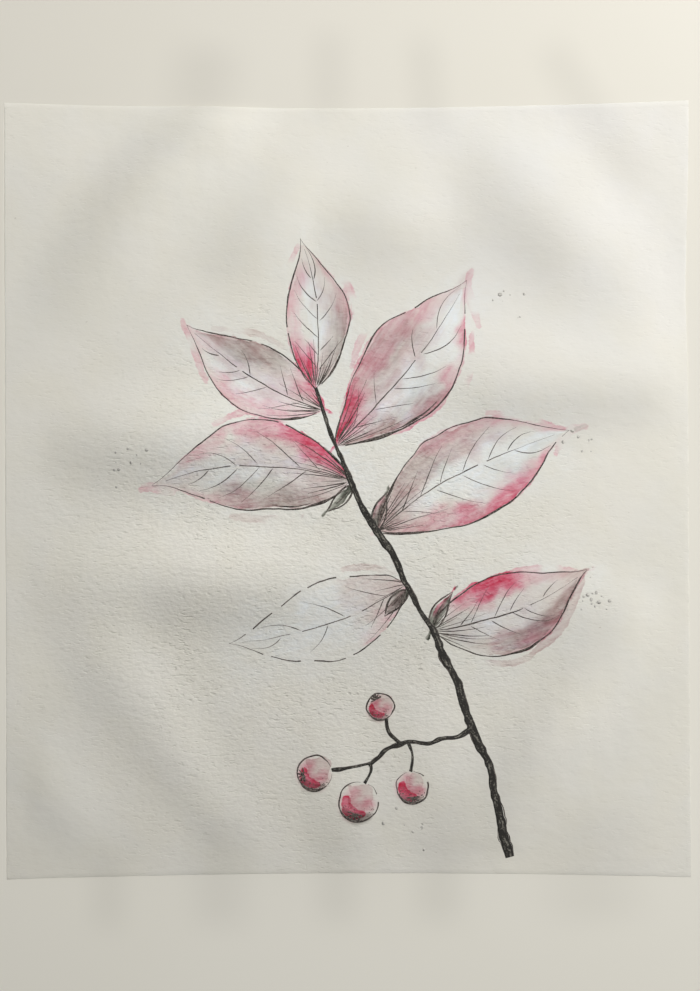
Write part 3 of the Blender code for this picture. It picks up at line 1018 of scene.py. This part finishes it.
class InkPiece:
    """Many drawn marks in one piece, each a thin closed film that follows the paper."""

    def __init__(self, name):
        self.name = name
        self.points, self.faces, self.flow = [], [], []

    def mark(self, path, half_widths, lanes=2):
        """One stroke along path, with its half width at each point, made of lanes points across."""
        path, half_widths = np.asarray(path), np.asarray(half_widths)
        leftward = left_of(path)
        along = distance_along(path) / MM
        first = sum(len(block) for block in self.points)
        spread = np.linspace(-1.0, 1.0, lanes)
        for across, is_top in [(s, True) for s in spread] + [(s, False) for s in spread[::-1]]:
            spot = path + leftward * (half_widths * across)[:, None]
            rise = INK_LIFT * (1.0 - INK_THINNING * abs(across) ** 3) if is_top else -INK_ROOT
            self.points.append(np.column_stack([spot, surface.at(spot[:, 0], spot[:, 1]) + rise]))
            self.flow.append(np.column_stack([along, np.full(len(path), across), np.zeros(len(path))]))
        count, around = len(path), 2 * lanes
        for lane in range(around):
            after = (lane + 1) % around
            for step in range(count - 1):
                a, b = first + lane * count + step, first + after * count + step
                self.faces.append((a, a + 1, b + 1, b))
        self.faces.append(tuple(first + lane * count for lane in range(around)))
        self.faces.append(tuple(first + lane * count + count - 1 for lane in reversed(range(around))))

    def finish(self, material):
        mesh = bpy.data.meshes.new(self.name)
        mesh.from_pydata(np.vstack(self.points).tolist(), [], self.faces)
        field = mesh.attributes.new("ink_flow", "FLOAT_VECTOR", "POINT")
        field.data.foreach_set("vector", np.vstack(self.flow).astype(np.float32).ravel())
        mesh.update()
        mesh.shade_smooth()
        mesh.materials.append(material)
        piece = add_object(self.name, mesh)
        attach(piece, BODY)


PEN_SHAKE = ((1.0, 7.0), (0.35, 2.2))
PEN_PRESSURE = ((0.38, 14.0), (0.18, 3.0))
PEN_TIP = 0.28  # of a line's width, at its very ends


def drawn_line(piece, path, width, seed, gaps=(), wobble=0.22, taper=(0.12, 0.2)):
    """A pen line of about this full width in mm, pressed unevenly, lifted at gaps and thin at its ends."""
    path = polyline(path)
    along = distance_along(path)
    share = along / along[-1]
    path = path + left_of(path) * (wobble * MM * ripples(along, 0.0, seed, *PEN_SHAKE))[:, None]
    press = 1.0 + ripples(along, 0.0, seed + 2, *PEN_PRESSURE)
    start, end = taper
    full = smoothstep(0.0, start, share) * smoothstep(0.0, end, 1.0 - share)
    half = 0.5 * width * MM * press * (PEN_TIP + (1.0 - PEN_TIP) * full)
    keep = np.ones(len(path), bool)
    for low, high in gaps:
        keep &= (share < low) | (share > high)
    runs = np.split(np.arange(len(path)), np.flatnonzero(np.diff(keep.astype(int))) + 1)
    for run in runs:
        if keep[run[0]] and len(run) > 3:
            piece.mark(path[run], half[run])


# How each leaf's two margins are drawn: where the pen skips, in shares of the line, and its width in mm,
# left margin then right.
LEAF_PENS = {
    "right_top": (((0.7, 0.74),), 0.5, ((0.8, 0.86),), 0.58),
    "right_high": ((), 0.5, ((0.93, 0.96),), 0.62),
    "right_low": ((), 0.5, ((0.9, 0.92),), 0.56),
    "left_mid": (((0.72, 0.74),), 0.48, ((0.36, 0.385),), 0.5),
    "left_top": ((), 0.5, ((0.55, 0.6),), 0.46),
    "end": (((0.4, 0.43),), 0.46, (), 0.48),
    "left_low": (
        ((0.22, 0.26), (0.42, 0.45), (0.6, 0.66), (0.8, 0.83)), 0.48,
        ((0.3, 0.36), (0.52, 0.55), (0.68, 0.73), (0.86, 0.9)), 0.48,
    ),
}
# Where the pen was pressed hard on each leaf: the line's u, from and to in t, and its width in mm.
ACCENTS = {
    "right_top": ((-1, 0.03, 0.34, 1.25), (-0.93, 0.22, 0.46, 0.8), (1, 0.0, 0.16, 0.8),
                  (1, 0.44, 0.62, 0.75)),
    "right_high": ((-1, 0.02, 0.24, 1.3), (-1, 0.36, 0.66, 0.95), (1, 0.06, 0.24, 0.85)),
    "right_low": ((-1, 0.34, 0.62, 1.2), (1, 0.22, 0.42, 0.7), (-1, 0.84, 0.98, 0.9)),
    "left_mid": ((-1, 0.0, 0.18, 0.95), (1, 0.04, 0.3, 1.15), (0.93, 0.2, 0.4, 0.6)),
    "left_top": ((1, 0.02, 0.26, 1.0), (-1, 0.3, 0.46, 0.7)),
    "end": ((-1, 0.02, 0.3, 0.9), (1, 0.56, 0.72, 0.65)),
    "left_low": ((1, 0.0, 0.14, 0.8),),
}
ACCENT_TAPER = (0.45, 0.55)


def draw_margins(piece):
    t = np.linspace(0.0, 1.0, 17)
    for name, (left_gaps, left_width, right_gaps, right_width) in LEAF_PENS.items():
        leaf = LEAVES[name]
        for side, gaps, width in ((1, left_gaps, left_width), (-1, right_gaps, right_width)):
            drawn_line(piece, leaf.spot(t, side), width, 10 * leaf.seed + side, gaps)
    accents = [(LEAVES[name], *accent) for name, rows in ACCENTS.items() for accent in rows]
    for index, (leaf, u, start, stop, width) in enumerate(accents):
        path = leaf.spot(np.linspace(start, stop, 6), u)
        drawn_line(piece, path, width, 4000 + 5 * index, wobble=0.1, taper=ACCENT_TAPER)


BUD_MARGIN, BUD_FOLD = 0.7, 0.5  # mm, the width of their lines


def draw_buds(piece):
    t = np.linspace(0.0, 1.0, 7)
    for bud in BUDS.values():
        for side in (1, -1):
            drawn_line(piece, bud.spot(t, side), BUD_MARGIN, 10 * bud.seed + side, wobble=0.12)
        drawn_line(piece, bud.spot(t[1:5], 0.1 * t[1:5]), BUD_FOLD, 10 * bud.seed + 4, wobble=0.1)


SPARE_LEAF = "left_low"  # the one that is hardly painted and has few veins
MIDRIB_WIDTH = 0.42  # mm
MIDRIB_STOP = 0.93  # of the leaf's length
MIDRIB_GAPS = ((0.60, 0.64),)
SPARE_GAPS = ((0.3, 0.36), (0.66, 0.72))
VEIN_WIDTH = 0.33  # mm
VEIN_PLACES = (0.12, 0.70, 6)  # the first and the last along the midrib, and how many
VEINS_MISSING, SPARE_VEINS_MISSING = 0.2, 0.5
VEIN_START, VEIN_STOP = (0.01, 0.06), (0.5, 0.9)  # of the way from the midrib to the margin
VEIN_RISE, VEIN_SHIFT = (0.65, 1.0), (-0.03, 0.03)


def draw_veins(piece):
    for name, leaf in LEAVES.items():
        seed = 40 * leaf.seed
        rng = np.random.default_rng(seed)
        spare = name == SPARE_LEAF
        t = np.linspace(0.0, MIDRIB_STOP, 9)
        midrib = leaf.spot(t, 0.03 * np.sin(6.0 * t))
        drawn_line(piece, midrib, MIDRIB_WIDTH, seed, SPARE_GAPS if spare else MIDRIB_GAPS, taper=(0.1, 0.5))
        slant = leaf.half_width / leaf.length
        for index, t in enumerate(np.linspace(*VEIN_PLACES)):
            for side in (1, -1):
                start, stop = rng.uniform(*VEIN_START), rng.uniform(*VEIN_STOP)
                rise, shift = slant * rng.uniform(*VEIN_RISE), rng.uniform(*VEIN_SHIFT)
                if rng.uniform() < (SPARE_VEINS_MISSING if spare else VEINS_MISSING):
                    continue
                u = np.linspace(start, stop, 5)
                places = leaf.spot(t + shift + rise * (u + 0.5 * u**2), side * u)
                drawn_line(piece, places, VEIN_WIDTH, seed + 7 * index + side, wobble=0.15, taper=(0.1, 0.7))


HATCH_LINES, SPARE_HATCH_LINES = 11, 5
HATCH_SPREAD = 0.86  # of the way from the midrib to the margin
HATCH_START, HATCH_STOP, HATCH_PEN = (0.01, 0.04), (0.12, 0.34), (0.28, 0.5)  # in t, in t, and mm


def draw_base_hatching(piece):
    """Fine lines that fan out of each leaf's stalk end."""
    for name, leaf in LEAVES.items():
        rng = np.random.default_rng(leaf.seed + 900)
        count = SPARE_HATCH_LINES if name == SPARE_LEAF else HATCH_LINES
        for index in range(count):
            u = HATCH_SPREAD * (2.0 * index / (count - 1) - 1.0) + rng.uniform(-0.06, 0.06)
            start, stop = rng.uniform(*HATCH_START), rng.uniform(*HATCH_STOP)
            t = np.linspace(start, stop, 5)
            width = rng.uniform(*HATCH_PEN)
            places = leaf.spot(t, u * (0.75 + 0.25 * t / stop))
            drawn_line(piece, places, width, leaf.seed * 31 + index, wobble=0.12, taper=(0.1, 0.75))


STEM_WIDTHS = (3.3, 2.9, 3.1, 2.5, 3.0, 2.5, 2.6, 2.0, 1.8, 1.3)  # mm, from its foot up
TWIG_WIDTHS = (2.3, 1.6, 2.0, 1.4, 1.6, 1.2)
STALK_WIDTHS = (1.4, 0.9, 1.3)
STALK_BOW = (1.4, 0.6)  # mm, to one side and the other by turns
STEM_KNOB = 11.0 * MM  # from one knob to the next
STEM_SWAY = 0.30  # of its width
KINK_SHARPNESS, KINK_MEAN, KINK_SHARE = 0.96, 0.60, 0.42
KNOT_SWELL = 0.13  # of its width
# What is uneven along a stem, each with its amount, its size in mm and its seed: where its knobs lie, how
# sharply it kinks, its knots, its width and its way.
KNOB_DRIFT, KINK_DRIFT, STEM_KNOTS = (0.85, 21.0, 0), (0.55, 24.0, 5), (4.0, 8.0, 1)
STEM_SWELLS = ((0.15, 2.2, 2), (0.15, 22.0, 6))
STEM_DRIFTS = ((0.50, 9.0, 3), (0.15, 1.9, 4))
STEM_END = 0.04  # of its length, where the sway dies away


def brush_stem(piece, points, widths, seed, lanes=9):
    """A knobbly brushed stem through points, whose full width in mm runs through widths."""
    path = polyline(np.array(points) * MM, 0.4 * MM)
    along = distance_along(path)
    share = along / along[-1]
    width = np.interp(share, np.linspace(0.0, 1.0, len(widths)), widths)

    def uneven(*layers):
        return sum(amount * noise(along, 0.0, size * MM, seed + step) for amount, size, step in layers)

    phase = along / STEM_KNOB + uneven(KNOB_DRIFT)
    kink = np.arcsin(KINK_SHARPNESS * np.sin(np.pi * phase)) * (KINK_MEAN + uneven(KINK_DRIFT))
    knobs = 1.0 + KNOT_SWELL * np.tanh(uneven(STEM_KNOTS)) + uneven(*STEM_SWELLS)
    sway = KINK_SHARE * kink + uneven(*STEM_DRIFTS)
    slack = np.minimum(1.0, np.minimum(share, 1.0 - share) / STEM_END)
    path = path + left_of(path) * (STEM_SWAY * width * MM * sway * slack)[:, None]
    half = 0.5 * width * knobs * MM
    piece.mark(path, half, lanes=lanes)
    return path, half


CONTOUR_RUN, CONTOUR_STEP = (14, 40), (8, 22)  # points of the stem's path
CONTOUR_PLACE, CONTOUR_BULGE = (0.78, 1.0), (0.0, 0.30)  # of the stem's half width
CONTOUR_PEN = (0.16, 0.34)  # mm, half its width
CONTOUR_END = 0.3  # of its width, at a stroke's ends
CONTOUR_LAST = 12  # points before the path's end, where the last one starts


def stem_contours(piece, path, half, seed):
    """Short ink strokes that follow a stem's two sides and now and then leave them."""
    rng = np.random.default_rng(seed)
    leftward = left_of(path)
    start = 0
    while start < len(path) - CONTOUR_LAST:
        stop = min(start + int(rng.uniform(*CONTOUR_RUN)), len(path) - 1)
        side = 1.0 if rng.uniform() < 0.5 else -1.0
        run = np.arange(start, stop)
        bulge = np.sin(np.linspace(0.0, np.pi, len(run)))
        offset = side * half[run] * (rng.uniform(*CONTOUR_PLACE) + rng.uniform(*CONTOUR_BULGE) * bulge)
        line = path[run] + leftward[run] * offset[:, None]
        piece.mark(line, rng.uniform(*CONTOUR_PEN) * MM * (CONTOUR_END + (1.0 - CONTOUR_END) * bulge))
        start += int(rng.uniform(*CONTOUR_STEP))


def draw_stems(stem, contours):
    """The stem, its twig and the berries' stalks, and then the strokes along them."""
    brushed = [brush_stem(stem, STEM, STEM_WIDTHS, 301), brush_stem(stem, TWIG, TWIG_WIDTHS, 311)]
    for index, (centre, radius, fork) in enumerate(BERRIES):
        middle, fork = np.array(centre, float), np.array(fork, float)
        end = middle + (fork - middle) / np.hypot(*(fork - middle)) * radius * 0.98
        belly = (fork + end) / 2 + np.array(STALK_BOW) * (-1) ** index
        brushed.append(brush_stem(stem, [fork, belly, end], STALK_WIDTHS, 320 + 5 * index))
    for index, (path, half) in enumerate(brushed):
        stem_contours(contours, path, half, 360 + index)


RIM_POINTS = 22  # of a berry's outline
RIM_OPENING = 0.2  # radians, to each side of its stalk
RIM_GAPS = ((0.82, 0.88),)
# The heavy line under a berry: how far out, from and to which angle through how many points, and mm.
UNDER_PLACE, UNDER_ANGLES, UNDER_WIDTH = 0.98, (3.6, 5.5, 8), 1.1
RIM_WAVER, RIM_WAVES = 0.05, 0.6  # of the radius, and waves from one of its points to the next
BERRY_PEN, CROWN_PEN = 0.5, 0.7  # mm
CROWN_SPIKES = 6
CROWN_STEP = 0.62  # radians, from one spike to the next
CROWN_PLACE, CROWN_REACH = 0.62, 0.42  # of its radius
BERRY_DOTS = 46  # on its shaded side
DOT_ANGLES, DOT_PLACES, DOT_RADII = (3.1, 5.9), (0.18, 0.88), (0.12, 0.24)


def draw_berries(outline, dots):
    for index, (centre, radius, fork) in enumerate(BERRIES):
        middle, r = np.array(centre) * MM, radius * MM
        seed = 7000 + 30 * index
        toward = np.array(fork) * MM - middle
        stalk_angle = math.atan2(toward[1], toward[0])
        angles = stalk_angle + np.linspace(RIM_OPENING, 2 * math.pi - RIM_OPENING, RIM_POINTS)
        rim = r * (1.0 + RIM_WAVER * noise(np.arange(RIM_POINTS) * RIM_WAVES, 0.0, 1.0, seed))
        drawn_line(outline, middle + rim[:, None] * heading(angles), BERRY_PEN, seed, RIM_GAPS, wobble=0.16)
        under = middle + UNDER_PLACE * r * heading(np.linspace(*UNDER_ANGLES))
        drawn_line(outline, under, UNDER_WIDTH, seed + 9, wobble=0.12, taper=(0.4, 0.5))
        crown = middle - toward / np.hypot(*toward) * CROWN_PLACE * r
        for spike in range(CROWN_SPIKES):
            a = stalk_angle + math.pi + (spike - (CROWN_SPIKES - 1) / 2) * CROWN_STEP
            tip = crown + CROWN_REACH * r * heading(a)
            drawn_line(outline, [crown, (crown + tip) / 2, tip], CROWN_PEN, seed + spike + 3, wobble=0.1)
        rng = np.random.default_rng(seed + 1)
        for _ in range(BERRY_DOTS):
            a, reach = rng.uniform(*DOT_ANGLES), math.sqrt(rng.uniform(*DOT_PLACES))
            dot(dots, middle + r * reach * heading(a), rng.uniform(*DOT_RADII), rng)


DOT_STRETCH = (0.8, 1.3)  # half its length, in radii
DOT_BLUNTNESS = 1.02  # over 1, so that its ends aren't sharp


def dot(piece, spot, radius, rng):
    """A pen dot or a droplet, a little longer than it is wide."""
    a = rng.uniform(0.0, math.pi)
    reach = radius * MM * rng.uniform(*DOT_STRETCH) * heading(a)
    share = np.linspace(-1.0, 1.0, 6)
    path = spot + np.outer(share, reach)
    piece.mark(path, radius * MM * np.sqrt(DOT_BLUNTNESS - share**2), lanes=3)


# Where droplets fell: the middle of each cloud and its spread, in mm, and how many there are.
SPLATTER = [((100, -44), 9, 22), ((99, 22), 8, 9), ((-88, 12), 9, 10), ((30, -138), 11, 9), ((66, 80), 8, 8)]

DROPLET_SEED = 77
DROPLET_RANGE, DROPLET_POWER, DROPLET_LEAST = (0.18, 0.80), 1.5, 0.10  # of random radii, in mm


def draw_splatter(piece):
    """Droplets flicked off a loaded brush, beside the leaf tips."""
    rng = np.random.default_rng(DROPLET_SEED)
    for (x, y), spread, count in SPLATTER:
        for _ in range(count):
            spot = np.array((x, y)) * MM + rng.normal(0.0, spread * 0.5, 2) * MM
            dot(piece, spot, rng.uniform(*DROPLET_RANGE) ** DROPLET_POWER + DROPLET_LEAST, rng)


# The drawn pieces, and which ink each is drawn in.
INK_PIECES = {
    "ink_stem": "brush_ink",
    "ink_stem_contours": "pen_ink",
    "ink_leaf_margins": "pen_ink",
    "ink_leaf_veins": "pen_ink",
    "ink_berry_outlines": "pen_ink",
    "ink_berry_dots": "pen_ink",
    "ink_splatter": "thinned_ink",
}


def make_ink():
    inks = {name: ink_material(name, *look) for name, look in INKS.items()}
    pieces = [InkPiece(name) for name in INK_PIECES]
    stem, contours, margins, veins, berries, dots, splatter = pieces
    draw_stems(stem, contours)
    draw_margins(margins)
    draw_buds(margins)
    draw_veins(veins)
    draw_base_hatching(veins)
    draw_berries(berries, dots)
    draw_splatter(splatter)
    for piece in pieces:
        piece.finish(inks[INK_PIECES[piece.name]])


# ---- surroundings

VIEW_HEIGHT = 0.50  # of the camera over the sheet
VIEW_SPAN = 0.4073  # of the picture's long side, where it meets the sheet
VIEW_CENTRE = (0.0009, -0.0023)
VIEW_ROLL = math.radians(-0.2)
SENSOR = 36.0
# Each lamp's place, the width of its disk and its power. The first is a lamp to the right, the second a
# window above the sheet's top edge.
LAMPS = {
    "key": ((0.887, 0.512, 0.717), 0.55, 17.1),
    "top": ((0.0, 0.503, 0.806), 0.70, 3.4),
}
SKY_LEVEL = 0.16
UNDER_LEVEL = 0.8  # of the light that reaches the sheet's back
HORIZON = (-0.1, 0.0)  # the slope of the sky over which one level turns into the other
UNDER_GAP = 0.007  # m under the sheet, through which that light passes the table
# The table's colour, with painted shade that darkens it from below the sheet to above it.
FLOOR_NEAR = (0.752, 0.727, 0.646)  # below the sheet
FLOOR_SHADED_FAR = (0.621, 0.593, 0.523)  # above it
FLOOR_REACH = 300.0  # mm from the middle, past which the table's tone stays
FLOOR_RIGHT_UP, FLOOR_RIGHT_SHADE = (260.0, 20.0), 0.92  # mm up the table, where its right side is painted darker, in shade
FLOOR_CLOUD, FLOOR_CLOUD_TINT = 160.0, (0.99, 0.988, 0.98)
# Painted light on the table, a lighter strip along the sheet's left edge that cancels the sheet's shadow
# there: how far outside the sheet its middle lies, how its sides fade, how its ends fade, all in mm, and its
# tint.
STRIP_OFFSET, STRIP_SIDES, STRIP_ENDS, STRIP_LIGHT_TINT = 0.15, (0.15, 0.4), (158.0, 159.5), 1.25
FLOOR_SIZE = 6.0
TABLE_LIFT = 0.3 * MM  # how deep the sheet's weight beds it into the soft table cover
FLOOR_ROUGHNESS = 0.8
FLOOR_SPECULAR = 0.5
BACKDROP = (0.735, 0.710, 0.635)
BACKDROP_RANGE = (270.0, 620.0)  # mm from the middle, where the table turns into the backdrop


def make_camera():
    data = bpy.data.cameras.new("camera")
    data.sensor_width = SENSOR
    data.lens = SENSOR * VIEW_HEIGHT / VIEW_SPAN
    camera = add_object("camera", data)
    camera.location = (*VIEW_CENTRE, VIEW_HEIGHT)
    camera.rotation_euler = (0.0, 0.0, VIEW_ROLL)
    bpy.context.scene.camera = camera


def make_light():
    for name, (place, size, watts) in LAMPS.items():
        data = bpy.data.lights.new(name, "AREA")
        data.shape = "DISK"
        data.size = size
        data.energy = watts
        lamp = add_object(name, data)
        lamp.location = place
        lamp.rotation_euler = (-Vector(place)).to_track_quat("-Z", "Y").to_euler()
    bpy.context.scene.world = make_sky()


def make_sky():
    """An even dim sky, with light from below for the sheet's back, that the camera sees as the backdrop."""
    world = bpy.data.worlds.new("soft_sky")
    graph = Graph(world)
    direction = graph.node("ShaderNodeTexCoord").outputs["Generated"]
    sky = graph.tree.nodes["Background"]
    graph.feed(sky.inputs["Color"], WHITE)
    level = graph.remap(graph.split(direction)[2], *HORIZON, UNDER_LEVEL, SKY_LEVEL)
    graph.feed(sky.inputs["Strength"], level)
    backdrop = graph.made("ShaderNodeBackground", {"Color": BACKDROP})
    seen = graph.node("ShaderNodeLightPath").outputs["Is Camera Ray"]
    output = graph.tree.nodes["World Output"]
    graph.feed(output.inputs["Surface"], graph.mix_shader(seen, sky.outputs[0], backdrop))
    return world


def make_floor():
    """The table: pale, turning into the backdrop away from the sheet, and clear from below."""
    material = bpy.data.materials.new("pale_table")
    graph = Graph(material)
    across, up, _ = graph.split(graph.place)
    # painted shade: the table darkens from below the sheet to above it
    colour = graph.mix(graph.remap(up, -FLOOR_REACH, FLOOR_REACH), FLOOR_NEAR, FLOOR_SHADED_FAR)
    # painted shade over the table's right side
    right = graph.product(graph.remap(across, -FLOOR_REACH, FLOOR_REACH), graph.remap(up, *FLOOR_RIGHT_UP))
    colour = graph.tint(colour, right, FLOOR_RIGHT_SHADE)
    colour = graph.tint(colour, graph.remap(graph.noise(FLOOR_CLOUD), 0.3, 0.7), FLOOR_CLOUD_TINT)
    colour = shaded(graph, colour)
    # painted light beside the sheet's left edge, over its shadow
    aside = graph.math("ABSOLUTE", graph.math("SUBTRACT", across, CAD_LOW[0] / MM - STRIP_OFFSET))
    edge_light = graph.remap(graph.math("ABSOLUTE", up), *STRIP_ENDS, 1.0, 0.0)
    edge_light = graph.product(edge_light, graph.remap(aside, *STRIP_SIDES, 1.0, 0.0))
    graph.dress(graph.tint(colour, edge_light, STRIP_LIGHT_TINT), FLOOR_ROUGHNESS, FLOOR_SPECULAR)

    path = graph.node("ShaderNodeLightPath").outputs
    backdrop = graph.made("ShaderNodeEmission", {"Color": BACKDROP})
    far = graph.remap(graph.vector("LENGTH", graph.place), *BACKDROP_RANGE)
    far = graph.product(far, path["Is Camera Ray"])
    table = graph.mix_shader(far, graph.shader.outputs[0], backdrop)
    gap = graph.math("LESS_THAN", path["Ray Length"], UNDER_GAP)
    clear = graph.math("MAXIMUM", graph.node("ShaderNodeNewGeometry").outputs["Backfacing"], gap)
    table = graph.mix_shader(clear, table, graph.made("ShaderNodeBsdfTransparent", {}))
    graph.feed(graph.tree.nodes["Material Output"].inputs["Surface"], table)

    bpy.ops.mesh.primitive_plane_add(size=FLOOR_SIZE, location=(0.0, 0.0, TABLE_LIFT))
    floor = bpy.context.object
    floor.name = "floor"
    floor.data.materials.append(material)


make_sheet()
make_ink()
make_camera()
make_light()
make_floor()
bpy.context.scene.view_settings.view_transform = "Standard"

bpy.context.view_layer.update()
